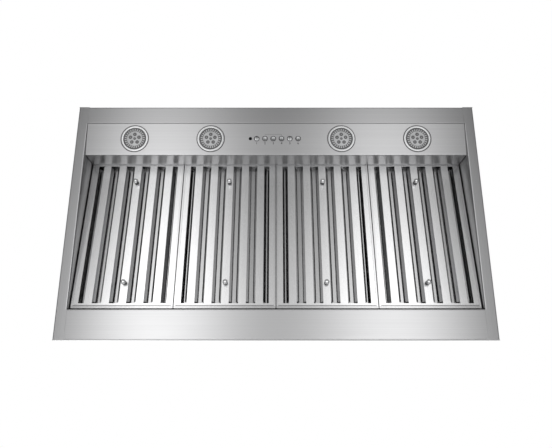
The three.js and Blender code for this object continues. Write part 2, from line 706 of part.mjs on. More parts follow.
// An upturned tray behind the panel. Four posts inside it hold the board.
function switchHousing() {
  const boxTop = collarSeat + SWITCH_BOX_HEIGHT;
  const tray = cut(
    block(switchBoxX, switchBoxY, [collarSeat, boxTop]),
    block(shrink(switchBoxX, SWITCH_BOX_WALL), shrink(switchBoxY, SWITCH_BOX_WALL),
      [0, boxTop - SWITCH_BOX_WALL]),
  );
  const postZ = [boardFoot + BOARD_THICKNESS + SEAM, boxTop - SWITCH_BOX_WALL / 2];
  const posts = shrink(switchBoxX, BOARD_POST_INSET).flatMap((x) =>
    shrink(switchBoxY, BOARD_POST_INSET).map((y) =>
      rod(BOARD_POST, postZ, SMALL_SIDES).translate(x, y, 0)));
  return join(tray, ...posts);
}

function controlBoard() {
  const inset = SWITCH_BOX_WALL + SEAM;
  const board = block(shrink(switchBoxX, inset), shrink(switchBoxY, inset),
    [boardFoot, boardFoot + BOARD_THICKNESS]);
  const switches = buttonPlaces.map((x) =>
    block(around(x, BUTTON_STEM), around(ROW_LINE, BUTTON_STEM),
      [switchFoot, boardFoot + BOARD_THICKNESS / 2]));
  return join(board, ...switches);
}

buttonPlaces.forEach((x, i) => {
  place(`button_${i + 1}`, button().translate(x, ROW_LINE, 0), CHROME, panelAxes);
});
place('receiver_window', windowPiece().translate(windowX, ROW_LINE, 0), BLACK_PLASTIC, panelAxes);
place('switch_housing', switchHousing(), BLACK_PLASTIC, panelAxes);
place('control_board', controlBoard(), CIRCUIT_BOARD, panelAxes);

// ---------------------------------------------------------------- housing

const housingX = around(0, housingSide + SHEET);
const betweenSides = around(0, housingSide - SEAM);
const housingY = [housingFront, housingRear];
const endZ = [SHEET + SEAM, HOUSING_HEIGHT];
const sideZ = [SHEET + BEND + SEAM, HOUSING_HEIGHT];
const sideX = [housingSide, housingSide + SHEET];
const blowerX = around(0, BLOWER_BOX_WIDTH / 2);
const blowerY = around(0, BLOWER_BOX_DEPTH / 2);

place('housing_front', block(betweenSides, [housingFront, housingFront + SHEET], endZ), GALVANISED);
place('housing_rear', block(betweenSides, [housingRear - SHEET, housingRear], endZ), GALVANISED);
place('housing_left', mirrorX(block(sideX, housingY, sideZ)), GALVANISED);
place('housing_right', block(sideX, housingY, sideZ), GALVANISED);
place('housing_top', cut(
  block(housingX, housingY, [housingTopZ, housingRoof]),
  block(shrink(blowerX, SHEET), shrink(blowerY, SHEET), around(housingTopZ, 2 * SHEET)),
), GALVANISED);

const outletX = around(0, scrollHalf - SHEET);
const outletY = [wheelY + outletInner + SHEET, wheelY + scrollEnd - SHEET];

// A box without a floor, with a flange round its foot and the blower's outlet in its roof.
function blowerBox() {
  const hollow = block(shrink(blowerX, SHEET), shrink(blowerY, SHEET),
    [blowerBoxFoot - SHEET, blowerBoxTop - SHEET]);
  const flange = block(shrink(blowerX, -BLOWER_BOX_FLANGE), shrink(blowerY, -BLOWER_BOX_FLANGE),
    [blowerBoxFoot, blowerBoxFoot + SHEET]);
  return cut(
    join(block(blowerX, blowerY, [blowerBoxFoot, blowerBoxTop]), flange),
    hollow,
    block(outletX, outletY, around(blowerBoxTop, 2 * SHEET)),
  );
}

place('blower_box', blowerBox(), GALVANISED);

// ---------------------------------------------------------------- duct collar and damper

const ductBore = DUCT_RADIUS - SHEET;

// The collar, with the damper's spindle riveted across it.
function ductCollar() {
  const profile = [
    [ductBore - COLLAR_STOP, collarFoot], [DUCT_RADIUS + COLLAR_BASE, collarFoot],
    [DUCT_RADIUS + COLLAR_BASE, stopTop], [DUCT_RADIUS, stopTop],
    [DUCT_RADIUS, collarFoot + COLLAR_HEIGHT], [ductBore, collarFoot + COLLAR_HEIGHT],
    [ductBore, stopTop], [ductBore - COLLAR_STOP, stopTop],
  ];
  const collar = turned([...profile, profile[0]], DUCT_SIDES);
  const spindle = rod(SPINDLE_RADIUS, around(0, ductBore + SHEET / 2), SMALL_SIDES)
    .rotateY(Math.PI / 2).translate(0, 0, spindleZ);
  return join(collar, spindle).translate(0, DUCT_Y, 0);
}

// Half a disc that hangs on the spindle by two knuckles. `side` is 1 for the rear flap.
function damperFlap(side) {
  const plateZ = [stopTop + SEAM, stopTop + SEAM + FLAP_SHEET];
  const radius = ductBore - FLAP_EDGE_GAP;
  const edge = KNUCKLE_RADIUS + FLAP_SHEET;
  const start = Math.asin(edge / radius);
  const outline = [];
  const steps = DUCT_SIDES / 2;
  for (let k = 0; k <= steps; k++) {
    const angle = start + ((Math.PI - 2 * start) * k) / steps;
    outline.push([radius * Math.cos(angle), side * radius * Math.sin(angle)]);
  }
  const plate = extrude(shapeOf(outline), FLAP_SHEET).translate(0, 0, plateZ[0]);
  const pieces = [plate];
  const bores = [];
  for (const end of [-1, 1]) {
    const x = end * KNUCKLE_PLACE + (side * (KNUCKLE_LENGTH + KNUCKLE_GAP)) / 2;
    const across = around(x, KNUCKLE_LENGTH / 2);
    pieces.push(alongX(circleOutline(KNUCKLE_RADIUS, SMALL_SIDES), across).translate(0, 0, spindleZ));
    const reach = edge + FLAP_SHEET;
    const tongue = side > 0 ? [0, reach] : [-reach, 0];
    pieces.push(block(across, tongue, [plateZ[0], spindleZ - SPINDLE_RADIUS / 2]));
    bores.push(alongX(circleOutline(SPINDLE_RADIUS + RUNNING_GAP, SMALL_SIDES), around(x, KNUCKLE_LENGTH))
      .translate(0, 0, spindleZ));
  }
  return cut(join(...pieces), ...bores).translate(0, DUCT_Y, 0);
}

place('duct_collar', ductCollar(), GALVANISED);
place('damper_flap_front', damperFlap(-1), CAST_ALUMINIUM);
place('damper_flap_rear', damperFlap(1), CAST_ALUMINIUM);

// ---------------------------------------------------------------- blower

// The scroll's outline in Y and Z about the wheel's axis: a spiral, then the straight outlet.
function scrollOutline(inset, top) {
  const points = [];
  const steps = 24;
  for (let k = 0; k <= steps; k++) {
    const angle = cutoff + ((2 * Math.PI - cutoff) * k) / steps;
    const radius = scrollRadius(angle) - inset;
    points.push([radius * Math.cos(angle), radius * Math.sin(angle)]);
  }
  points.push([scrollEnd - inset, top], [outletInner + inset, top]);
  return points;
}

function blowerScroll() {
  const top = scrollTop - wheelZ;
  const shell = alongX(scrollOutline(0, top), around(0, scrollHalf));
  const hollow = alongX(scrollOutline(SHEET, top + SHEET), around(0, scrollHalf - SHEET));
  const inlets = alongX(circleOutline(SCROLL_INLET, DUCT_SIDES), around(0, scrollHalf + SHEET));
  return cut(shell, hollow, inlets).translate(0, wheelY, wheelZ);
}

function blade(index) {
  const inner = (2 * Math.PI * index) / BLADES;
  const sweep = THREE.MathUtils.degToRad(BLADE_SWEEP);
  const point = (radius, angle, offset) => [
    radius * Math.cos(angle) - offset * Math.sin(angle),
    radius * Math.sin(angle) + offset * Math.cos(angle),
  ];
  const line = [[WHEEL_EYE + SEAM, inner], [WHEEL_RADIUS - SEAM, inner + sweep]];
  const outline = [
    ...line.map(([radius, angle]) => point(radius, angle, 0)),
    ...line.reverse().map(([radius, angle]) => point(radius, angle, BLADE_SHEET)),
  ];
  return alongX(outline, around(0, WHEEL_WIDTH / 2));
}

function blowerWheel() {
  const turn = (geometry) => geometry.rotateY(Math.PI / 2);
  const half = WHEEL_WIDTH / 2;
  const endRing = (x) => turn(ring(WHEEL_EYE, WHEEL_RADIUS, around(x, RING_THICKNESS / 2), WHEEL_SIDES));
  const wheel = join(
    turn(rod(WHEEL_RADIUS, around(0, RING_THICKNESS / 2), WHEEL_SIDES)),
    endRing(-half), endRing(half),
    turn(rod(HUB_RADIUS, [-RING_THICKNESS, HUB_LENGTH], SMALL_SIDES)),
    ...Array.from({ length: BLADES }, (_, i) => blade(i)),
  );
  const bore = turn(rod(SHAFT_RADIUS + SEAM, [-HUB_LENGTH, HUB_LENGTH + 1], SMALL_SIDES));
  return cut(wheel, bore).translate(0, wheelY, wheelZ);
}

const motorEnd = -RING_THICKNESS - MOTOR_DISC_GAP;
const motorStart = motorEnd - MOTOR_LENGTH;
const shaftFoot = motorEnd - SHAFT_DEPTH;

function blowerMotor() {
  const bore = SHAFT_RADIUS + RUNNING_GAP;
  const motor = turned([
    [0, motorStart], [MOTOR_RADIUS - MOTOR_CHAMFER, motorStart],
    [MOTOR_RADIUS, motorStart + MOTOR_CHAMFER], [MOTOR_RADIUS, motorEnd - MOTOR_CHAMFER],
    [MOTOR_RADIUS - MOTOR_CHAMFER, motorEnd], [bore, motorEnd], [bore, shaftFoot], [0, shaftFoot],
  ], MOTOR_SIDES);
  return motor.rotateY(Math.PI / 2).translate(0, wheelY, wheelZ);
}

function motorShaft() {
  const shaft = rod(SHAFT_RADIUS, [shaftFoot + SEAM, HUB_LENGTH + SHAFT_END], SMALL_SIDES);
  return shaft.rotateY(Math.PI / 2).translate(0, wheelY, wheelZ);
}

// A band round the motor with three arms, screwed to the scroll's left side plate.
function motorBracket() {
  const plateX = -scrollHalf - SEAM;
  const bandX = [plateX - MOTOR_BAND, plateX];
  const bandInner = MOTOR_RADIUS + SEAM;
  const band = ring(bandInner, bandInner + BRACKET_SHEET, bandX, MOTOR_SIDES).rotateY(Math.PI / 2);
  const arms = BRACKET_ARMS.map((angle) =>
    block([plateX - BRACKET_SHEET, plateX], [bandInner + BRACKET_SHEET / 2, BRACKET_REACH],
      around(0, BRACKET_ARM / 2)).rotateX(THREE.MathUtils.degToRad(angle)));
  return join(band, ...arms).translate(0, wheelY, wheelZ);
}

place('blower_scroll', blowerScroll(), GALVANISED);
place('blower_wheel', blowerWheel(), GALVANISED);
place('motor_shaft', motorShaft(), DARK_STEEL);
place('blower_motor', blowerMotor(), DARK_STEEL);
place('motor_bracket', motorBracket(), GALVANISED);

// ---------------------------------------------------------------- electrical boxes and hangers

function ledDriver() {
  const [width, depth, height] = DRIVER_SIZE;
  const wallFace = housingFront + SHEET + SEAM;
  const end = housingSide - DRIVER_INSET;
  const top = HOUSING_HEIGHT - DRIVER_DROP;
  return block([end - width, end], [wallFace, wallFace + depth], [top - height, top]);
}

const junctionFoot = housingRoof + SEAM;
const [junctionWidth, junctionDepth, junctionHeight] = JUNCTION_SIZE;
const junctionLeft = HANGER_FLANGE + JUNCTION_GAP - hangerWeb;
const junctionX = [junctionLeft, junctionLeft + junctionWidth];
const junctionRear = housingRear - JUNCTION_INSET;
const junctionY = [junctionRear - junctionDepth, junctionRear];
const junctionTop = junctionFoot + junctionHeight;
const glandNeck = GLAND_RADIUS - GLAND_WALL;

// Something turned about Z, laid along X where the gland goes through the junction box's right wall.
function atGland(geometry) {
  const middle = (junctionFoot + junctionTop) / 2;
  return geometry.rotateY(Math.PI / 2).translate(junctionX[1], junctionRear - junctionDepth / 2, middle);
}

function junctionBox() {
  return cut(
    block(junctionX, junctionY, [junctionFoot, junctionTop]),
    block(shrink(junctionX, SHEET), shrink(junctionY, SHEET), [junctionFoot + SHEET, junctionTop + SHEET]),
    atGland(rod(glandNeck + SEAM, around(0, 2 * SHEET), SMALL_SIDES)),
  );
}

function junctionCover() {
  const level = junctionTop + SEAM;
  return block(shrink(junctionX, -SHEET), shrink(junctionY, -SHEET), [level, level + SHEET]);
}

// The conduit connector in the side of the junction box: a neck through the wall, a nut and a body.
function cableGland() {
  const nutEnd = -SHEET - SEAM;
  const profile = [
    [GLAND_BORE, nutEnd - GLAND_NUT], [GLAND_RADIUS, nutEnd - GLAND_NUT], [GLAND_RADIUS, nutEnd],
    [glandNeck, nutEnd], [glandNeck, SEAM], [GLAND_RADIUS, SEAM], [GLAND_RADIUS, GLAND_LENGTH],
    [GLAND_BORE, GLAND_LENGTH],
  ];
  return atGland(turned([...profile, profile[0]], SMALL_SIDES));
}

// A Z-shaped bracket: its foot lies on the housing's roof, its upper flange is screwed to the cabinet.
function hanger(sign) {
  const top = hangerFoot + HANGER_RISE;
  const outline = folded(
    [
      [hangerWeb - HANGER_FLANGE, hangerFoot], [hangerWeb, hangerFoot],
      [hangerWeb, top], [hangerWeb + HANGER_FLANGE, top],
    ],
    HANGER_SHEET, BEND,
  );
  const half = (housingRear - housingFront) / 2 - HANGER_END_GAP;
  const [slotWidth, slotLength] = HANGER_SLOT_SIZE;
  const slotX = around(hangerWeb + (HANGER_FLANGE + HANGER_SHEET) / 2, slotWidth / 2);
  const slotPitch = (2 * (half - HANGER_SLOT_INSET)) / (HANGER_SLOTS - 1);
  const slots = Array.from({ length: HANGER_SLOTS }, (_, i) =>
    block(slotX, around((i - (HANGER_SLOTS - 1) / 2) * slotPitch, slotLength / 2),
      around(top, 2 * HANGER_SHEET)));
  const bracket = cut(alongY(outline, around(0, half)), ...slots);
  return sign > 0 ? bracket : mirrorX(bracket);
}

place('led_driver', ledDriver(), BLACK_PLASTIC);
place('junction_box', junctionBox(), GALVANISED);
place('junction_box_cover', junctionCover(), GALVANISED);
place('cable_gland', cableGland(), DARK_STEEL);
place('hanger_left', hanger(-1), GALVANISED);
place('hanger_right', hanger(1), GALVANISED);

export default insert;
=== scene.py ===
"""Range hood insert, hung up and seen from below in a plain studio.

Metres, +Z up, -Y is the front edge with the lamps and buttons. The origin is the centre of the flange's
lower plane. Smooth pieces stand for the faceted round ones, and every surface gets its own finish.
"""

import math

import bpy
from mathutils import Matrix, Vector


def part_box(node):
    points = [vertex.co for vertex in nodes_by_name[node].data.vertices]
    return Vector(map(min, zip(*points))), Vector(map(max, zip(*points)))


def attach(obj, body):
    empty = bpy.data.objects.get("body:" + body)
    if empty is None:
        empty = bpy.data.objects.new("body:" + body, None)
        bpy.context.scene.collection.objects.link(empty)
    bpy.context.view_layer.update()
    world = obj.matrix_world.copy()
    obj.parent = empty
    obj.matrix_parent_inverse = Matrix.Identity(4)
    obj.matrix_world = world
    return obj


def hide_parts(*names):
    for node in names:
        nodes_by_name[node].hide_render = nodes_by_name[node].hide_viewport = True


MM = 0.001

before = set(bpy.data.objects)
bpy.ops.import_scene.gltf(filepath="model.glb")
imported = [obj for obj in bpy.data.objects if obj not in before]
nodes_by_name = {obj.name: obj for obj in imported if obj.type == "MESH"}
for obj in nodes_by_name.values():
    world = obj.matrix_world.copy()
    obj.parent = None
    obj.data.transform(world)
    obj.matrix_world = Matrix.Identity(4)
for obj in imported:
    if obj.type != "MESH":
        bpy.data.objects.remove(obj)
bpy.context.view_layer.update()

# ---------------------------------------------------------------- sizes shared with the solids

PANEL_TILT = math.radians(4.6)
FILTER_SLOPE = math.radians(7.3)
LENS_MIDDLE = 0.6 * MM              # from the panel's lower face up to the middle of a lens
LAMP_TRIM = 41.8 * MM               # radius of a lamp's trim ring
LAMP_DROP = 1.8 * MM                # how far that ring stands below the panel
LAMP_BEZEL = 31 * MM                # radius of the hole in the trim, where the lens shows
LAMP_RING = (33.2 * MM, 39.4 * MM)  # inner and outer radius of the trim's bright face
LAMP_CAN = 33.6 * MM
LAMP_CAN_HEIGHT = 29 * MM
LAMP_CAN_WALL = 1.2 * MM
LENS_RADIUS = 32.1 * MM
LENS_RECESS = 0.7 * MM              # from the panel's lower face down to the lens's ledge
BUTTON_RADIUS = 8 * MM
BUTTON_DROP = 2.6 * MM              # how far a cap stands below the panel
BUTTON_COLLAR = 9.8 * MM
WINDOW_RADIUS = 5 * MM
KNOB_BALL = 6.75 * MM
KNOB_NECK = 3 * MM                  # radius of the stem where it meets the ball
KNOB_STANDOFF = 12.9 * MM           # from the filter's lower plane down to the middle of the ball
FILTER_PIVOT = Vector((0, -0.184149, 0.070299))   # on the filters' lower plane, over the recess's wall
FILTER_REACH = 442.0 * MM           # from there to their rear ends
PANEL_REAR = Vector((0, -0.18892, 0.00798))       # where the control panel turns up into that wall
FILTER_LIP = 5.4 * MM               # lip of the frame round the baffle plate
COLLAR_RADIUS = 125 * MM
SHEET = 1.2 * MM

SHARP_TURN = math.radians(35)       # an edge is sharp where it turns by more than this
SKIN = 0.02 * MM                    # keeps a drawn surface off the one that it lies on


# ---------------------------------------------------------------- mesh helpers

def mesh_object(name, points, faces, material):
    """A mesh with smooth faces and sharp edges."""
    mesh = bpy.data.meshes.new(name)
    mesh.from_pydata([tuple(p) for p in points], [], faces)
    mesh.validate()
    mesh.shade_smooth()
    mesh.set_sharp_from_angle(angle=SHARP_TURN)
    mesh.materials.append(material)
    piece = bpy.data.objects.new(name, mesh)
    bpy.context.scene.collection.objects.link(piece)
    return piece


def lathe(profile, segments=72, matrix=Matrix()):
    """Points and faces of a profile of (radius, height) turned about local Z."""
    points, faces, rows = [], [], []
    for radius, height in profile:
        if radius < 1e-7:
            rows.append([len(points)])
            points.append(matrix @ Vector((0, 0, height)))
            continue
        rows.append(list(range(len(points), len(points) + segments)))
        for k in range(segments):
            angle = 2 * math.pi * k / segments
            points.append(matrix @ Vector((radius * math.cos(angle), radius * math.sin(angle), height)))
    for lower, upper in zip(rows, rows[1:]):
        for k in range(segments):
            after = (k + 1) % segments
            if len(lower) == 1 and len(upper) > 1:
                faces.append((lower[0], upper[after], upper[k]))
            elif len(upper) == 1 and len(lower) > 1:
                faces.append((lower[k], lower[after], upper[0]))
            elif len(lower) > 1:
                faces.append((lower[k], lower[after], upper[after], upper[k]))
    return points, faces


def prism(outline, low, high, matrix=Matrix()):
    """Points and faces of an outline in X and Y, between two heights."""
    count = len(outline)
    points = [matrix @ Vector((x, y, z)) for z in (low, high) for x, y in outline]
    faces = [(k, (k + 1) % count, count + (k + 1) % count, count + k) for k in range(count)]
    faces += [tuple(reversed(range(count))), tuple(range(count, 2 * count))]
    return points, faces


def rectangle(left, right, near, far):
    """An outline for a prism."""
    return [(left, near), (right, near), (right, far), (left, far)]


def merged(*parts):
    """Several lists of points and faces as one."""
    points, faces = [], []
    for some_points, some_faces in parts:
        start = len(points)
        points += some_points
        faces += [tuple(start + i for i in face) for face in some_faces]
    return points, faces


def arc(centre, radius, start, end, steps):
    """Points on an arc, from one angle to another in degrees."""
    angles = [math.radians(start + (end - start) * k / steps) for k in range(steps + 1)]
    return [(centre[0] + radius * math.cos(a), centre[1] + radius * math.sin(a)) for a in angles]


def facing(place, normal):
    """A matrix that puts local Z along `normal` at `place`."""
    turn = Vector(normal).to_track_quat("Z", "Y").to_matrix().to_4x4()
    return Matrix.Translation(place) @ turn


# ---------------------------------------------------------------- materials

class Finish:
    """A material under construction, with short ways to add its textures."""

    def __init__(self, name, colour, roughness, metallic):
        self.material = bpy.data.materials.new(name)
        self.material.use_nodes = True
        self.nodes = self.material.node_tree.nodes
        self.links = self.material.node_tree.links
        self.shader = self.nodes["Principled BSDF"]
        self.colour = colour
        self.shader.inputs["Base Color"].default_value = (*colour, 1)
        self.shader.inputs["Roughness"].default_value = roughness
        self.shader.inputs["Metallic"].default_value = metallic
        self.coordinates = self.nodes.new("ShaderNodeTexCoord")
        self.place = self.coordinates.outputs["Object"]

    def stretched(self, scale):
        """The object's own axes, in cycles of a texture to the metre."""
        mapping = self.nodes.new("ShaderNodeMapping")
        mapping.inputs["Scale"].default_value = scale
        self.links.new(self.place, mapping.inputs["Vector"])
        return mapping.outputs["Vector"]

    def noise(self, scale, detail=3.0):
        texture = self.nodes.new("ShaderNodeTexNoise")
        texture.inputs["Scale"].default_value = 1
        texture.inputs["Detail"].default_value = detail
        self.links.new(self.stretched(scale), texture.inputs["Vector"])
        return texture.outputs["Fac"]

    def cells(self, scale):
        """Cells of an even shade each."""
        texture = self.nodes.new("ShaderNodeTexVoronoi")
        texture.inputs["Scale"].default_value = 1
        self.links.new(self.stretched(scale), texture.inputs["Vector"])
        shade = self.nodes.new("ShaderNodeRGBToBW")
        self.links.new(texture.outputs["Color"], shade.inputs["Color"])
        return shade.outputs["Val"]

    def between(self, factor, low, high, start=0.3, end=0.7):
        """`low` to `high` as `factor` goes from `start` to `end`, which most noise lies between."""
        span = self.nodes.new("ShaderNodeMapRange")
        span.inputs["From Min"].default_value = start
        span.inputs["From Max"].default_value = end
        span.inputs["To Min"].default_value = low
        span.inputs["To Max"].default_value = high
        self.links.new(factor, span.inputs["Value"])
        return span.outputs["Result"]

    def tint(self, factor, low, high):
        """Varies the base colour between `low` and `high` times itself."""
        mix = self.nodes.new("ShaderNodeMix")
        mix.data_type = "RGBA"
        mix.inputs["A"].default_value = (*(min(1, c * low) for c in self.colour), 1)
        mix.inputs["B"].default_value = (*(min(1, c * high) for c in self.colour), 1)
        self.links.new(self.between(factor, 0, 1), mix.inputs["Factor"])
        self.links.new(mix.outputs["Result"], self.shader.inputs["Base Color"])

    def roughen(self, factor, low, high):
        self.links.new(self.between(factor, low, high), self.shader.inputs["Roughness"])

    def steepness(self):
        """1 on the faces that stand upright, 0 on those that lie flat."""
        parts = self.nodes.new("ShaderNodeSeparateXYZ")
        self.links.new(self.coordinates.outputs["Normal"], parts.inputs[0])
        size = self.nodes.new("ShaderNodeMath")
        size.operation = "ABSOLUTE"
        self.links.new(parts.outputs["Z"], size.inputs[0])
        return self.between(size.outputs[0], 1, 0, 0.7, 0.95)

    def along(self, direction, start, end):
        """0 to 1 between two distances along `direction`, in the object's own axes."""
        product = self.nodes.new("ShaderNodeVectorMath")
        product.operation = "DOT_PRODUCT"
        product.inputs[1].default_value = direction
        self.links.new(self.place, product.inputs[0])
        return self.between(product.outputs["Value"], 0, 1, start, end)

    def dull(self, factor, amount):
        """Paints shade: scales the base colour towards `amount` times itself as `factor` rises to 1."""
        source = self.shader.inputs["Base Color"].links[0].from_socket
        scale = self.between(factor, 1, amount, 0, 1)
        product = self.nodes.new("ShaderNodeVectorMath")
        product.operation = "SCALE"
        self.links.new(source, product.inputs[0])
        self.links.new(scale, product.inputs["Scale"])
        self.links.new(product.outputs[0], self.shader.inputs["Base Color"])

    def bump(self, factor, strength, distance):
        bump = self.nodes.new("ShaderNodeBump")
        bump.inputs["Strength"].default_value = strength
        bump.inputs["Distance"].default_value = distance
        self.links.new(factor, bump.inputs["Height"])
        self.links.new(bump.outputs["Normal"], self.shader.inputs["Normal"])


def grained(grain, across, along):
    """The scale of a texture that is drawn out along one axis."""
    scale = [across, across, across]
    scale["XYZ".index(grain)] = along
    return scale


def brushed(name, colour, grain, roughness, spread=0.7, upright=1.0, rough_upright=None,
            spread_along=None, inside=None):
    """Brushed steel. `grain` is the axis that the brush lines follow.

    Light spreads across them, or along the axis `spread_along`. `upright` paints shade: it is how bright
    the faces are that stand up in the hood, against those that face down, and `rough_upright` is their
    roughness.
    `inside` paints shade too: a direction, two distances along it, and how bright the metal is beyond the
    second.
    """
    finish = Finish(name, colour, roughness, 1)
    fine = finish.noise(grained(grain, 1500, 8), 2)
    streaks = finish.noise(grained(grain, 420, 1.2))
    finish.tint(streaks, 0.965, 1.03)
    finish.roughen(fine, roughness - 0.03, roughness + 0.03)
    finish.bump(fine, 0.05, 0.00002)
    finish.shader.inputs["Anisotropic"].default_value = spread
    across = finish.nodes.new("ShaderNodeCombineXYZ")
    across.inputs[spread_along or ("X" if grain == "Y" else "Y")].default_value = 1
    finish.links.new(across.outputs["Vector"], finish.shader.inputs["Tangent"])
    # Painted shade: the faces that stand upright are darkened in colour.
    if upright < 1:
        finish.dull(finish.steepness(), upright)
    # Painted shade: the metal beyond the second distance along `inside` is darkened in colour.
    if inside:
        *span, amount = inside
        finish.dull(finish.along(*span), amount)
    if rough_upright:
        finish.links.new(finish.between(finish.steepness(), roughness, rough_upright, 0, 1),
                         finish.shader.inputs["Roughness"])
    return finish.material


def galvanised(name, colour):
    """Zinc-coated sheet with its spangle."""
    roughness = 0.5
    finish = Finish(name, colour, roughness, 0.9)
    spangle = finish.cells((110, 110, 110))
    finish.tint(spangle, 0.95, 1.04)
    finish.roughen(spangle, roughness - 0.02, roughness + 0.03)
    finish.bump(finish.noise((260, 260, 260)), 0.05, 0.0001)
    return finish.material


def polished(name, colour, roughness):
    """Bright plating with faint smears."""
    finish = Finish(name, colour, roughness, 1)
    finish.roughen(finish.noise((90, 90, 90)), roughness * 0.7, roughness * 1.6)
    finish.tint(finish.noise((30, 30, 30)), 0.96, 1.02)
    return finish.material


def satin(name, colour, roughness, metallic=1.0, grain=600):
    """A plain satin surface with a fine grain."""
    finish = Finish(name, colour, roughness, metallic)
    texture = finish.noise((grain, grain, grain))
    finish.tint(finish.noise((40, 40, 40)), 0.92, 1.06)
    finish.roughen(texture, roughness * 0.85, roughness * 1.15)
    finish.bump(texture, 0.1, 0.0001)
    return finish.material


STEEL = (0.55, 0.55, 0.555)
# The `upright` factors below paint shade on the sheets' upright faces.
steel_across = brushed("steel_grain_across", STEEL, "X", 0.32, upright=0.8)
steel_deep = brushed("steel_grain_deep", STEEL, "Y", 0.32, upright=0.75, spread_along="Y")
panel_steel = brushed("panel_steel", STEEL, "X", 0.32, upright=0.72, rough_upright=0.40)

# Painted shade: inside a filter, its frame darkens over these two distances above the filter's lower
# plane, and its upright faces are darker too.
BACK_ROW_SHADE_DEPTH = (10 * MM, 15 * MM)
filter_axes = nodes_by_name["filter_1_frame"].matrix_world.inverted()
filter_in = filter_axes.to_3x3() @ Vector((0, math.sin(FILTER_SLOPE), math.cos(FILTER_SLOPE)))
filter_level = filter_in.dot(filter_axes @ FILTER_PIVOT)
filter_steel = brushed("filter_steel", (0.78, 0.78, 0.785), "Y", 0.22, 0.9, upright=0.8, spread_along="Y",
                       inside=(filter_in, *(filter_level + d for d in BACK_ROW_SHADE_DEPTH), 0.72))
# The baffles' upright legs are darkened in colour as painted shade.
baffle_steel = brushed("baffle_steel", (0.87, 0.87, 0.875), "Y", 0.22, 0.9, upright=0.55,
                       spread_along="Y")
spring_steel = brushed("spring_steel", (0.42, 0.42, 0.43), "X", 0.32, 0.4)
zinc = galvanised("zinc", (0.50, 0.515, 0.525))
zinc_dull = galvanised("zinc_dull", (0.44, 0.455, 0.465))
chrome = polished("chrome", (0.93, 0.932, 0.935), 0.2)
seam_shade = satin("seam_shade", (0.16, 0.16, 0.163), 0.5)
# The knob stems are near black: a dark metal, which also paints the dark crescent of shade beside each
# ball.
knob_stem = satin("knob_stem", (0.07, 0.07, 0.073), 0.35)
trim_chrome = satin("lamp_trim_metal", (0.68, 0.685, 0.69), 0.24)
button_metal = satin("button_metal", (0.44, 0.444, 0.448), 0.24)
dark_steel = satin("dark_steel", (0.33, 0.335, 0.34), 0.38)
motor_paint = satin("motor_paint", (0.045, 0.045, 0.048), 0.42, 0.0, 900)
damper_metal = satin("damper_aluminium", (0.66, 0.67, 0.68), 0.33)
gland_metal = satin("gland_metal", (0.52, 0.53, 0.54), 0.36)
black_plastic = satin("black_plastic", (0.022, 0.022, 0.024), 0.45, 0.0, 1400)
window_plastic = satin("window_plastic", (0.004, 0.004, 0.005), 0.4, 0.0, 200)
window_plastic.node_tree.nodes["Principled BSDF"].inputs["Specular IOR Level"].default_value = 0.06
board_green = satin("board_green", (0.03, 0.16, 0.07), 0.4, 0.0, 300)
lens_plastic = satin("lens_plastic", (0.62, 0.625, 0.63), 0.3, 0.0, 500)
lamp_dark = satin("lamp_dark", (0.13, 0.13, 0.132), 0.3, 0.0, 700)
led_glass = satin("led_glass", (0.42, 0.42, 0.425), 0.15, 0.0, 300)
mark_ink = satin("mark_ink", (0.03, 0.03, 0.032), 0.5, 0.0, 900)
screw_metal = satin("screw_metal", (0.58, 0.585, 0.59), 0.25)


def finish_node(name, material):
    """Gives a solid its finish, and leaves its shape alone."""
    mesh = nodes_by_name[name].data
    mesh.materials.clear()
    mesh.materials.append(material)


for node in ("front_strip", "rear_panel"):
    finish_node(node, steel_across)
finish_node("control_panel", panel_steel)
for node in ("side_rail_left", "side_rail_right"):
    finish_node(node, steel_deep)
for number in range(1, 5):
    finish_node(f"filter_{number}_frame", filter_steel)
    finish_node(f"filter_{number}_baffles", baffle_steel)
finish_node("filter_catch_rail", spring_steel)
for node in ("housing_front", "housing_rear", "housing_left", "housing_right", "housing_top",
             "blower_box", "hanger_left", "hanger_right", "junction_box_cover"):
    finish_node(node, zinc)
for node in ("blower_scroll", "blower_wheel", "motor_bracket", "junction_box"):
    finish_node(node, zinc_dull)
finish_node("motor_shaft", dark_steel)
finish_node("blower_motor", motor_paint)
finish_node("control_board", board_green)
for node in ("switch_housing", "led_driver"):
    finish_node(node, black_plastic)


# ---------------------------------------------------------------- camera, lights and room

# Where the photograph was taken from: its height below the flange and its tilt from the vertical.
CAMERA_PLACE = Vector((0, 0.4137, -1.3617))
CAMERA_TILT = math.asin(0.2756)
FOCAL_LENGTH = 33.0
CLIP = (0.05, 60)
FLOOR_LEVEL = -1.95
FLOOR_HALF = 30
FLOOR_COLOUR = (0.74, 0.74, 0.745)
WORLD_COLOUR = (0.96, 0.98, 1, 1)
WORLD_LEVEL = 0.5
CARD_LEVEL = -1.5
CARD_SIDES = (-3.2, 3.2, -5, 1.4)           # left, right, near and far edge
CARD_BASE = 0.40
CARD_BANDS = ((-0.70, 1.75), (0.67, 1.5))   # where each bright band runs, and how bright it is
CARD_BAND_WIDTH = 0.32
# The card dims away from its middle and towards its front: from, to, and the factor at both places.
CARD_DIMS_ACROSS = ((0.9, 1.45, 1, 0.5), (1.45, 3, 1, 0.3))
CARD_DIMS_DEEP = ((-1.4, 0, 0.3, 1), (-2.2, -1.4, 0.2, 1))


def add_camera():
    """The photograph's camera."""
    data = bpy.data.cameras.new("camera")
    data.lens = FOCAL_LENGTH
    data.clip_start, data.clip_end = CLIP
    camera = bpy.data.objects.new("camera", data)
    forward = Vector((0, -math.sin(CAMERA_TILT), math.cos(CAMERA_TILT)))
    right = Vector((1, 0, 0))
    up = right.cross(forward)
    camera.matrix_world = Matrix.Translation(CAMERA_PLACE) @ Matrix(
        (right, up, -forward)).transposed().to_4x4()
    bpy.context.scene.collection.objects.link(camera)
    bpy.context.scene.camera = camera


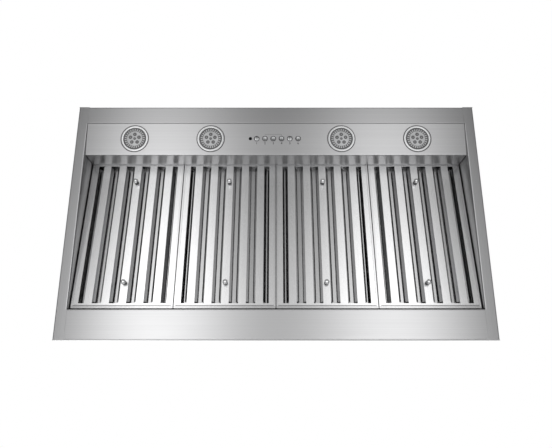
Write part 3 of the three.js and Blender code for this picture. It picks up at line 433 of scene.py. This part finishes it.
def softbox(name, place, target, size, radiance):
    """A rectangular light. Its brightness is what a mirror would show."""
    data = bpy.data.lights.new(name, "AREA")
    data.shape = "RECTANGLE"
    data.size, data.size_y = size
    data.energy = radiance * math.pi * size[0] * size[1]
    light = bpy.data.objects.new(name, data)
    aim = Vector(target) - Vector(place)
    light.matrix_world = Matrix.Translation(place) @ aim.to_track_quat("-Z", "Y").to_matrix().to_4x4()
    light.visible_camera = False
    bpy.context.scene.collection.objects.link(light)


def level_sheet(name, sides, level, material):
    """One level face, of which the light card and the floor are made."""
    piece = mesh_object(name, [(x, y, level) for x, y in rectangle(*sides)], [(0, 1, 2, 3)], material)
    return piece


def light_card():
    """A broad panel of light under the hood, brightest along two bands, and dimmer towards the front."""
    material = bpy.data.materials.new("light_card")
    material.use_nodes = True
    nodes, links = material.node_tree.nodes, material.node_tree.links
    nodes.clear()

    def value(kind, first, second=None):
        node = nodes.new("ShaderNodeMath")
        node.operation = kind
        for socket, source in zip(node.inputs, (first, second)):
            if isinstance(source, (int, float)):
                socket.default_value = source
            elif source is not None:
                links.new(source, socket)
        return node.outputs[0]

    def ramp(source, start, end, low, high):
        node = nodes.new("ShaderNodeMapRange")
        for socket, number in zip(("From Min", "From Max", "To Min", "To Max"), (start, end, low, high)):
            node.inputs[socket].default_value = number
        links.new(source, node.inputs["Value"])
        return node.outputs["Result"]

    place = nodes.new("ShaderNodeSeparateXYZ")
    links.new(nodes.new("ShaderNodeTexCoord").outputs["Object"], place.inputs[0])
    across, deep = place.outputs["X"], place.outputs["Y"]
    total = CARD_BASE
    for middle, peak in CARD_BANDS:
        away = value("SUBTRACT", across, middle)
        power = value("DIVIDE", value("MULTIPLY", away, away), -2 * CARD_BAND_WIDTH ** 2)
        total = value("ADD", value("MULTIPLY", value("EXPONENT", power), peak), total)
    side = value("ABSOLUTE", across)
    edge = value("MULTIPLY", *(ramp(side, *dim) for dim in CARD_DIMS_ACROSS))
    front = value("MULTIPLY", *(ramp(deep, *dim) for dim in CARD_DIMS_DEEP))
    total = value("MULTIPLY", value("MULTIPLY", total, edge), front)
    glow = nodes.new("ShaderNodeEmission")
    links.new(total, glow.inputs["Strength"])
    clear = nodes.new("ShaderNodeBsdfTransparent")
    mix = nodes.new("ShaderNodeMixShader")
    links.new(nodes.new("ShaderNodeNewGeometry").outputs["Backfacing"], mix.inputs[0])
    links.new(glow.outputs[0], mix.inputs[1])
    links.new(clear.outputs[0], mix.inputs[2])
    links.new(mix.outputs[0], nodes.new("ShaderNodeOutputMaterial").inputs["Surface"])

    card = level_sheet("light_card", CARD_SIDES, CARD_LEVEL, material)
    card.visible_camera = False
    card.visible_shadow = False


def room():
    """Soft light from all round, a white background, and a pale floor."""
    world = bpy.data.worlds.new("studio")
    bpy.context.scene.world = world
    world.use_nodes = True
    nodes, links = world.node_tree.nodes, world.node_tree.links
    soft = nodes["Background"]
    soft.inputs["Color"].default_value = WORLD_COLOUR
    soft.inputs["Strength"].default_value = WORLD_LEVEL
    white = nodes.new("ShaderNodeBackground")
    white.inputs["Color"].default_value = (1, 1, 1, 1)
    rays = nodes.new("ShaderNodeLightPath").outputs
    seen = rays["Is Camera Ray"]
    for kind in ("Is Glossy Ray", "Is Transmission Ray"):
        total = nodes.new("ShaderNodeMath")
        total.operation = "ADD"
        total.use_clamp = True
        links.new(seen, total.inputs[0])
        links.new(rays[kind], total.inputs[1])
        seen = total.outputs[0]
    mix = nodes.new("ShaderNodeMixShader")
    links.new(seen, mix.inputs[0])
    links.new(soft.outputs[0], mix.inputs[1])
    links.new(white.outputs[0], mix.inputs[2])
    links.new(mix.outputs[0], nodes["World Output"].inputs["Surface"])

    level_sheet("floor", (-FLOOR_HALF, FLOOR_HALF, -FLOOR_HALF, FLOOR_HALF), FLOOR_LEVEL,
                satin("floor_paint", FLOOR_COLOUR, 0.7, 0.0, 60))


add_camera()
room()
light_card()
ROOF = (0, 0, 0.2)
softbox("overhead", (0.9, -1.2, 2.4), ROOF, (2.2, 2.2), 1.7)
softbox("overhead_back", (-1.3, 1.6, 2.2), ROOF, (1.8, 1.8), 1.4)


# ---------------------------------------------------------------- lamps, buttons and window

lens_low, lens_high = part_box("lamp_1_lens")
panel_up = Vector((0, -math.sin(PANEL_TILT), math.cos(PANEL_TILT)))
row_point = (lens_low + lens_high) / 2 - panel_up * LENS_MIDDLE


def on_panel(x):
    """The panel's own axes at one place on the row of lamps and buttons."""
    return Matrix.Translation((x, row_point.y, row_point.z)) @ Matrix.Rotation(PANEL_TILT, 4, "X")


def centre_x(node):
    """Where a solid lies across the hood."""
    low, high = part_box(node)
    return (low.x + high.x) / 2


def lamp_housing(number):
    """The can and its bright ring, with a dark gasket outside the ring and a dark rim inside it. Both are
    dark parts, and their dark also paints the shade in the gaps at the ring's edges.
    """
    node = f"lamp_{number}_housing"
    place = on_panel(centre_x(node))
    bore = LENS_RADIUS + 0.3 * MM
    inner, outer = LAMP_RING
    shoulder, edge, seat = 2 * MM, 0.9 * MM, -0.3 * MM
    can_inside = LAMP_CAN_HEIGHT - LAMP_CAN_WALL
    profile = [(0, LAMP_CAN_HEIGHT), (LAMP_CAN - shoulder, LAMP_CAN_HEIGHT)]
    profile += arc((LAMP_CAN - shoulder, LAMP_CAN_HEIGHT - shoulder), shoulder, 90, 0, 4)
    profile += [(LAMP_CAN, seat), (outer, seat)]
    profile += arc((outer - edge, -LAMP_DROP + edge), edge, 0, -90, 5)
    profile += arc((inner + edge, -LAMP_DROP + edge), edge, -90, -180, 5)
    profile += [(inner, -LENS_RECESS), (bore, -LENS_RECESS), (bore, can_inside), (0, can_inside)]
    piece = mesh_object(f"{node}_smooth", *lathe(profile, 96, place), trim_chrome)
    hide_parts(node)
    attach(piece, "insert")

    # The dark gasket and rim also paint the shade in the gaps at the ring's edges.
    foot, fillet, clear = -LAMP_DROP + 1 * MM, 0.5 * MM, 0.05 * MM
    gasket = [(outer + clear, seat), (LAMP_TRIM, seat), (LAMP_TRIM, foot + fillet)]
    gasket += arc((LAMP_TRIM - fillet, foot + fillet), fillet, 0, -90, 4)
    gasket += [(outer + clear, foot), (outer + clear, seat)]
    rim_top = -LENS_RECESS - clear
    rim = [(LAMP_BEZEL, rim_top), (inner - clear, rim_top), (inner - clear, -LAMP_DROP + 0.5 * MM),
           (LAMP_BEZEL, -LAMP_DROP + 0.9 * MM), (LAMP_BEZEL, rim_top)]
    rings = merged(lathe(gasket, 96, place), lathe(rim, 96, place))
    dark = mesh_object(f"lamp_{number}_gasket", *rings, lamp_dark)
    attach(dark, "insert")


def lamp_lens(number):
    """A pale disc with a ribbed dark rim round it, and six small lights under clear domes."""
    place = on_panel(centre_x(f"lamp_{number}_lens"))
    face = -LENS_RECESS + 0.3 * MM      # where the ribs lie
    back = face + 2 * MM
    dish = face - 0.35 * MM             # face of the disc in the middle
    rim = 22.4 * MM
    disc = lathe([(0, back), (LENS_RADIUS, back), (LENS_RADIUS, face), (rim + 0.8 * MM, face),
                  (rim, dish), (0, dish)], 96, place)
    piece = mesh_object(f"lamp_{number}_lens_smooth", *disc, lens_plastic)
    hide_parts(f"lamp_{number}_lens")
    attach(piece, "insert")

    ribs, count = [], 26
    start, end = rim + 0.9 * MM, LAMP_BEZEL - 0.1 * MM
    for k in range(count):
        turn = Matrix.Rotation(2 * math.pi * k / count, 4, "Z")
        outline = [(start, -1.9 * MM), (end - 1 * MM, -1.2 * MM), (end - 1 * MM, 2.6 * MM),
                   (start, 0.8 * MM)]
        ribs.append(prism(outline, face - 0.3 * MM, face - SKIN, place @ turn))
    for low, high in ((start - 0.5 * MM, start + 0.4 * MM), (end - 1.3 * MM, end)):
        top, foot = face - SKIN, face - 0.34 * MM
        ribs.append(lathe([(low, top), (high, top), (high, foot), (low, foot), (low, top)], 72, place))
    rib_ring = mesh_object(f"lamp_{number}_ribs", *merged(*ribs), lamp_dark)
    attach(rib_ring, "insert")

    seats, domes = [], []
    middle, round_it = [(0, 0, 3.9 * MM)], arc((0, 0), 13.2 * MM, -90, 198, 4)
    for x, y, wide in middle + [(x, y, 5.3 * MM) for x, y in round_it]:
        spot = place @ Matrix.Translation((x, y, dish))
        eye, lip = wide * 0.36, -0.45 * MM
        seats.append(lathe([(eye, -SKIN), (wide, -SKIN), (wide - 0.5 * MM, lip), (eye + 0.3 * MM, lip),
                            (eye, -0.3 * MM), (eye, -SKIN)], 28, spot))
        cap = [(eye * math.sin(a), -0.55 * MM * math.cos(a))
               for a in (math.radians(15 * k) for k in range(7))]
        domes.append(lathe(cap, 28, spot))
    seat = mesh_object(f"lamp_{number}_led_seats", *merged(*seats), lamp_dark)
    dome = mesh_object(f"lamp_{number}_led_domes", *merged(*domes), led_glass)
    for small, slot in ((seat, "black_plastic"), (dome, "lamp_lens")):
        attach(small, "insert")


DISHED_BUTTONS = (2, 3, 4, 6)


def button(number):
    """A metal cap, dished or domed, over a black collar that shows in the gap round it, where its dark
    also paints the shade in that gap.
    """
    node = f"button_{number}"
    place = on_panel(centre_x(node))
    edge = 1.2 * MM
    top = 1.4 * MM
    cap = BUTTON_RADIUS - 0.9 * MM
    foot = -BUTTON_DROP + 0.9 * MM      # level of the cap's edge
    profile = [(0, top), (cap, top), (cap, foot + edge)]
    profile += arc((cap - edge, foot + edge), edge, 0, -60, 5)
    rim, level = profile[-1]
    if number in DISHED_BUTTONS:
        deep = 1.7 * MM
        profile += [(rim - 0.5 * MM, level)]
        profile += [(rim * math.cos(a) - 0.7 * MM, level + deep * math.sin(a))
                    for a in (math.radians(10 * k) for k in range(1, 9))]
        profile += [(0, level + deep)]
    else:
        crown = BUTTON_DROP + level
        profile += [(rim * k / 10, -BUTTON_DROP + crown * (k / 10) ** 2) for k in range(9, -1, -1)]
    piece = mesh_object(f"{node}_smooth", *lathe(profile, 48, place), button_metal)
    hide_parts(node)
    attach(piece, node)

    # The collar is black plastic, which also paints the shade in the gap round the cap.
    stem, stem_top, clear = 3 * MM, 7.7 * MM, 0.05 * MM
    collar_top, collar_foot = 2.7 * MM, 1.5 * MM
    collar = [(0, stem_top), (stem, stem_top), (stem, collar_top), (BUTTON_COLLAR, collar_top),
              (BUTTON_COLLAR, collar_foot), (BUTTON_RADIUS, collar_foot),
              (BUTTON_RADIUS, foot + 1.1 * MM), (cap + clear, foot + 0.9 * MM), (cap + clear, top + clear),
              (0, top + clear)]
    ring = mesh_object(f"{node}_collar", *lathe(collar, 48, place), black_plastic)
    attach(ring, node)


def receiver_window():
    """A dark dome on a flange and a stem."""
    stem, stem_top = 3.1 * MM, 12.9 * MM
    flange, flange_top, flange_foot = 6.1 * MM, 2.7 * MM, 1.5 * MM
    dome = 1 * MM
    profile = [(0, stem_top), (stem, stem_top), (stem, flange_top), (flange, flange_top),
               (flange, flange_foot), (WINDOW_RADIUS, flange_foot)]
    profile += [(WINDOW_RADIUS * math.cos(a), -dome * math.sin(a))
                for a in (math.radians(10 * k) for k in range(9))]
    profile += [(0, -dome)]
    place = on_panel(centre_x("receiver_window"))
    piece = mesh_object("receiver_window_smooth", *lathe(profile, 40, place), window_plastic)
    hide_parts("receiver_window")
    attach(piece, "insert")


def button_marks():
    """Plain numbers beside the buttons, and a thin line over the middle ones."""
    face = -0.05 * MM
    for number in range(1, 7):
        curve = bpy.data.curves.new(f"mark_{number}", "FONT")
        curve.body = str(number)
        curve.size = 9 * MM
        curve.offset = 0.14 * MM
        curve.align_x, curve.align_y = "CENTER", "CENTER"
        curve.extrude = 0.03 * MM
        curve.materials.append(mark_ink)
        mark = bpy.data.objects.new(f"mark_{number}", curve)
        place = on_panel(centre_x(f"button_{number}")) @ Matrix.Translation((0, 14.5 * MM, face))
        mark.matrix_world = place @ Matrix.Rotation(math.pi, 4, "X")
        bpy.context.scene.collection.objects.link(mark)
        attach(mark, "insert")
    left, right = centre_x("button_2"), centre_x("button_4")
    middle = on_panel((left + right) / 2)
    half, thick, ahead, end = (right - left) / 2, 0.45 * MM, -13.5 * MM, 2.4 * MM
    bar = rectangle(-half, half, ahead, ahead + thick)
    tick = rectangle(-thick / 2, thick / 2, ahead, ahead + end)
    lines = [prism(bar, 2 * face, 0.2 * face, middle)]
    lines += [prism(tick, 2 * face, 0.2 * face, middle @ Matrix.Translation((side * half, 0, 0)))
              for side in (-1, 1)]
    line = mesh_object("mark_line", *merged(*lines), mark_ink)
    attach(line, "insert")


for number in range(1, 5):
    lamp_housing(number)
    lamp_lens(number)
for number in range(1, 7):
    button(number)
receiver_window()
button_marks()


# ---------------------------------------------------------------- filters and the recess's corners

filter_up = Vector((0, math.sin(FILTER_SLOPE), math.cos(FILTER_SLOPE)))
filter_place = Matrix.Translation(FILTER_PIVOT) @ Matrix.Rotation(-FILTER_SLOPE, 4, "X")


def knob(number, end):
    """A chrome ball on a necked stem, with its washer and nut."""
    node = f"filter_{number}_knob_{end}"
    low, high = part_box(node)
    # The ball is the lowest part and the one at the front, so its middle lies one radius inside the box.
    place = facing(((low.x + high.x) / 2, low.y + KNOB_BALL, low.z + KNOB_BALL), filter_up)
    steps, turn = 24, math.pi - math.asin(KNOB_NECK / KNOB_BALL)
    profile = [(0, -KNOB_BALL)]
    profile += [(KNOB_BALL * math.sin(turn * k / steps), -KNOB_BALL * math.cos(turn * k / steps))
                for k in range(1, steps + 1)]
    profile += [(0, KNOB_BALL * 0.9)]
    washer = KNOB_STANDOFF - 0.2 * MM
    stem = [(0, KNOB_BALL * 0.8), (2.8 * MM, KNOB_BALL * 0.8), (2.6 * MM, washer - 4.5 * MM),
            (2.8 * MM, washer - 2.6 * MM), (4.6 * MM, washer - 1.6 * MM),
            (6.2 * MM, washer - 0.9 * MM), (6.2 * MM, washer),
            (2 * MM, washer), (2 * MM, washer + 2.4 * MM), (4 * MM, washer + 2.4 * MM),
            (4 * MM, washer + 6 * MM), (0, washer + 6 * MM)]
    # The stem, washer and nut are near black, which also paints the dark crescent of shade beside the
    # ball.
    base = mesh_object(f"{node}_stem", *lathe(stem, 40, place), knob_stem)
    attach(base, f"filter_{number}")
    piece = mesh_object(f"{node}_smooth", *lathe(profile, 48, place), chrome)
    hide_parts(node)
    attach(piece, f"filter_{number}")


def filter_seams(number):
    """Dark strips of painted shade in the joints round a filter's rear end lip, and along its sides."""
    low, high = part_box(f"filter_{number}_frame")
    inset, proud, end = 1 * MM, -0.12 * MM, FILTER_REACH - 1 * MM
    strips = []
    # Across the rear end: where the lip meets the baffle plate, and along the outer fold.
    for inner, outer, foot in ((FILTER_LIP + 1.9 * MM, FILTER_LIP + SKIN, 0.25 * MM),
                               (2.6 * MM, 1.5 * MM, proud)):
        outline = rectangle(low.x + inset, high.x - inset, FILTER_REACH - inner, FILTER_REACH - outer)
        strips.append(prism(outline, foot, foot + 0.7 * MM, filter_place))
    # Along both sides: on the frame's outer face, and on the rounded edge below it.
    for side, x in ((-1, low.x), (1, high.x)):
        left, right = sorted((x + side * SKIN, x + side * 0.42 * MM))
        strips.append(prism(rectangle(left, right, -6 * MM, end), 0.8 * MM, 9 * MM, filter_place))
        left, right = sorted((x, x - side * 0.6 * MM))
        strips.append(prism(rectangle(left, right, 2 * MM, end), proud, 0.3 * MM, filter_place))
    # Painted shade in the joints, and a painted dark reflection on the rounded edges.
    piece = mesh_object(f"filter_{number}_joint_shade", *merged(*strips), seam_shade)
    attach(piece, f"filter_{number}")


def filter_hem(number):
    """The folded hem on a filter's rear end, which narrows the gap behind it."""
    low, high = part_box(f"filter_{number}_frame")
    inset, thick = 1 * MM, 1.3 * MM
    outline = rectangle(low.x + inset, high.x - inset, FILTER_REACH + SKIN, FILTER_REACH + thick)
    hem = prism(outline, 0.4 * MM, 3 * MM, filter_place)
    piece = mesh_object(f"filter_{number}_hem", *hem, filter_steel)
    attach(piece, f"filter_{number}")


def corner_seams():
    """Dark strips of painted shade in the joints where the recess's front wall meets its side walls."""
    low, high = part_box("control_panel")
    along = FILTER_PIVOT - PANEL_REAR
    across = Vector((1, 0, 0)).cross(along).normalized()
    clear, wide, slant, proud = 0.1 * MM, 3 * MM, 0.6 * MM, 0.3 * MM
    section = ((clear, 0), (wide, 0), (wide - slant, proud), (clear, proud))
    faces = [(0, 1, 5, 4), (1, 2, 6, 5), (2, 3, 7, 6), (3, 0, 4, 7), (3, 2, 1, 0), (4, 5, 6, 7)]
    strips = []
    for side, x in ((-1, low.x), (1, high.x)):
        points = [PANEL_REAR + along * k + Vector((x - side * inset, 0, 0)) - across * (lift + SKIN)
                  for k in (0.04, 0.98) for inset, lift in section]
        strips.append((points, faces if side < 0 else [tuple(reversed(face)) for face in faces]))
    # Painted shade in the corner joints.
    piece = mesh_object("corner_seams", *merged(*strips), seam_shade)
    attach(piece, "insert")


corner_seams()
for number in range(1, 5):
    filter_seams(number)
    filter_hem(number)
    for end in ("front", "rear"):
        knob(number, end)


# ---------------------------------------------------------------- duct collar and damper

def duct_collar():
    """The collar with a rolled bead and a spindle."""
    low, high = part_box("duct_collar")
    centre = (low + high) / 2
    foot, rim = low.z, high.z
    bore = COLLAR_RADIUS - SHEET
    flange = (high.x - low.x) / 2
    bead, bead_half, bead_deep, edge = foot + 36 * MM, 3 * MM, 1 * MM, 0.3 * MM
    outer = [(flange, foot), (flange, foot + SHEET), (COLLAR_RADIUS + 1 * MM, foot + SHEET),
             (COLLAR_RADIUS, foot + 2.2 * MM), (COLLAR_RADIUS, bead - 4 * MM)]
    outer += [(COLLAR_RADIUS - bead_deep * math.sin(math.radians(a)),
               bead - bead_half + 2 * bead_half * a / 180) for a in range(0, 181, 20)]
    outer += [(COLLAR_RADIUS, bead + 4 * MM), (COLLAR_RADIUS, rim - edge), (COLLAR_RADIUS - edge, rim),
              (bore + edge, rim), (bore, rim - edge)]
    ledge = bore - 6 * MM
    inner = [(bore, foot + SHEET), (ledge, foot + SHEET), (ledge, foot), (flange, foot)]
    shell = lathe(outer + inner, 128, Matrix.Translation((centre.x, centre.y, 0)))
    radius, half_length = 2 * MM, bore + 0.6 * MM
    start = Vector((centre.x - half_length, centre.y, foot + SHEET + 4.6 * MM))
    length = 2 * half_length
    spindle = lathe([(0, 0), (radius, 0), (radius, length), (0, length)], 20, facing(start, (1, 0, 0)))
    piece = mesh_object("duct_collar_smooth", *merged(shell, spindle), zinc)
    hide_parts("duct_collar")
    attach(piece, "insert")


duct_collar()
for node in ("damper_flap_front", "damper_flap_rear"):
    finish_node(node, damper_metal)


def cable_gland():
    """A gland of round nut, hexagon body and dome nut, in the junction box's side."""
    low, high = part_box("cable_gland")
    centre = (low + high) / 2
    outer = (high.z - low.z) / 2
    length = high.x - low.x
    bore = outer * 0.6
    place = facing((low.x, centre.y, centre.z), (1, 0, 0))
    nut, body, body_end = 5.9 * MM, 8.5 * MM, 15.5 * MM     # distances along the gland
    neck = outer - 3 * MM
    parts = [lathe([(bore, 0), (outer, 0), (outer, nut), (neck, nut), (neck, body), (bore, body),
                    (bore, 0)], 48, place)]
    parts.append(prism(arc((0, 0), outer, 0, 300, 5), body, body_end, place))
    cap, curve, shoulder, mouth = outer * 0.92, 3.2 * MM, length - 4 * MM, bore * 0.7
    dome = [(mouth, body_end), (cap, body_end), (cap, shoulder)]
    dome += arc((cap - curve, shoulder), curve, 0, 75, 5)
    dome += [(bore * 0.9, length), (mouth, length - 1 * MM), (mouth, body_end)]
    parts.append(lathe(dome, 48, place))
    piece = mesh_object("cable_gland_smooth", *merged(*parts), gland_metal)
    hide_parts("cable_gland")
    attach(piece, "insert")


cable_gland()


# ---------------------------------------------------------------- fasteners

def screw_head(place, normal, radius):
    """A pan head with a socket in it."""
    tall = radius * 0.62
    profile = [(radius, 0), (radius, tall * 0.35)]
    profile += [(radius * (0.62 + 0.38 * math.cos(a)), tall * (0.35 + 0.65 * math.sin(a)))
                for a in (math.radians(15 * k) for k in range(1, 7))]
    profile += [(radius * 0.42, tall), (radius * 0.34, tall * 0.45), (0, tall * 0.3)]
    return lathe(profile, 20, facing(place, normal))


def screws(name, places, normal, radius=3.6 * MM):
    """One piece of several screw heads that face the same way."""
    piece = mesh_object(name, *merged(*(screw_head(p, normal, radius) for p in places)), screw_metal)
    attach(piece, "insert")


def spaced(start, end, count):
    """Evenly spaced places, with both ends."""
    return [start + (end - start) * k / (count - 1) for k in range(count)]


def roof_screws():
    low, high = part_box("housing_top")
    inset = 9 * MM
    places = [(x, y, high.z) for x in spaced(low.x + 20 * MM, high.x - 20 * MM, 9)
              for y in (low.y + inset, high.y - inset)]
    places += [(x, y, high.z) for y in spaced(low.y + 90 * MM, high.y - 90 * MM, 4)
               for x in (low.x + inset, high.x - inset)]
    screws("screws_roof", places, (0, 0, 1))


def wall_screws():
    low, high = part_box("housing_left")
    rows = spaced(low.z + 25 * MM, high.z - 15 * MM, 3)
    for name, x, normal in (("left", low.x, (-1, 0, 0)), ("right", -low.x, (1, 0, 0))):
        places = [(x, y, z) for y in (low.y + 10 * MM, high.y - 10 * MM) for z in rows]
        screws(f"screws_wall_{name}", places, normal)
    low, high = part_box("housing_front")
    for name, y, normal in (("front", low.y, (0, -1, 0)), ("rear", -low.y, (0, 1, 0))):
        places = [(x, y, low.z + 14 * MM) for x in spaced(low.x + 40 * MM, high.x - 40 * MM, 7)]
        screws(f"screws_wall_{name}", places, normal)


def box_screws():
    low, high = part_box("blower_box")
    inset = 7.5 * MM
    level = low.z + SHEET
    places = [(x, y, level) for x in spaced(low.x + inset, high.x - inset, 5)
              for y in (low.y + inset, high.y - inset)]
    places += [(x, y, level) for y in spaced(low.y + 110 * MM, high.y - 110 * MM, 3)
               for x in (low.x + inset, high.x - inset)]
    screws("screws_blower_box", places, (0, 0, 1))
    low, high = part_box("duct_collar")
    centre = (low + high) / 2
    ring = arc((centre.x, centre.y), (high.x - low.x) / 2 - 8 * MM, 22.5, 337.5, 7)
    screws("screws_collar", [(x, y, low.z + SHEET) for x, y in ring], (0, 0, 1), 3.2 * MM)
    low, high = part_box("junction_box_cover")
    corners = [(low.x + 9 * MM, low.y + 9 * MM, high.z), (high.x - 9 * MM, high.y - 9 * MM, high.z)]
    screws("screws_junction_box", corners, (0, 0, 1), 3 * MM)


def hanger_screws():
    for side in (-1, 1):
        low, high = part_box("hanger_left" if side < 0 else "hanger_right")
        inner = high.x if side < 0 else low.x
        places = [(inner + side * 13 * MM, y, low.z + 2.4 * MM)
                  for y in spaced(low.y + 45 * MM, high.y - 45 * MM, 4)]
        name = "screws_hanger_left" if side < 0 else "screws_hanger_right"
        screws(name, places, (0, 0, 1), 4.2 * MM)


roof_screws()
wall_screws()
box_screws()
hanger_screws()


# ---------------------------------------------------------------- end

bpy.context.scene.view_settings.view_transform = "Standard"


def corners(bounds):
    return [[round(value, 5) for value in corner] for corner in bounds]
